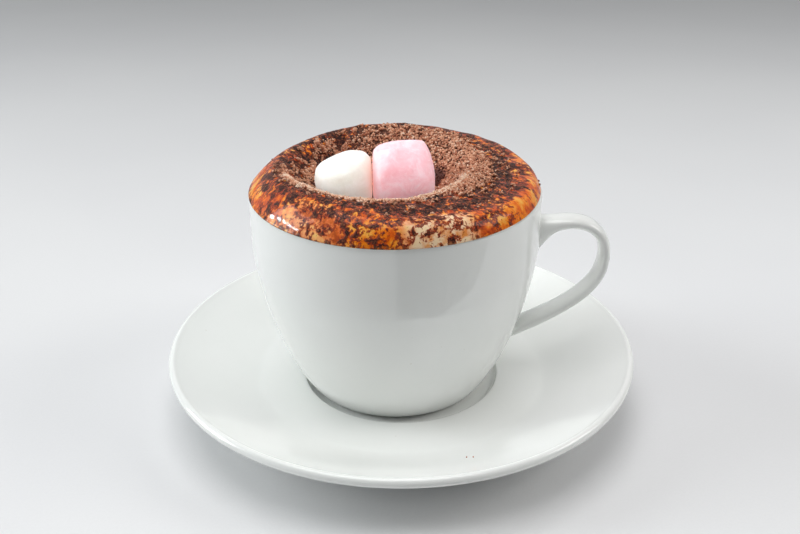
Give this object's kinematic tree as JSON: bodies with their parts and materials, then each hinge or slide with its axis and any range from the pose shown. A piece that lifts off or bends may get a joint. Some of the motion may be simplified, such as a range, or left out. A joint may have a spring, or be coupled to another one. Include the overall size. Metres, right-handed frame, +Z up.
{
  "type": "cappuccino in a cup and saucer",
  "caption": "White glazed cup with a loop handle on its saucer, full of coffee under domed, cocoa-dusted froth with grated chocolate and marshmallows in its hollow.",
  "frame": {"origin": "centre of the saucer's foot ring, on the table", "axes": "+Z up, +X towards the cup's handle, +Y away from the side the picture was taken from"},
  "size_m": [0.1512, 0.1512, 0.089],
  "materials": {
    "saucer": "white gloss glaze",
    "cup": "white gloss glaze",
    "drink": "moist milk froth dusted with cocoa and grated chocolate",
    "marshmallow_white": "powdery, slightly translucent",
    "marshmallow_pink": "powdery, slightly translucent"
  },
  "bodies": {
    "root": {"saucer": "saucer", "cup": "cup", "drink": "drink", "marshmallow_white": "marshmallow_white", "marshmallow_pink": "marshmallow_pink"}
  },
  "joints": []
}
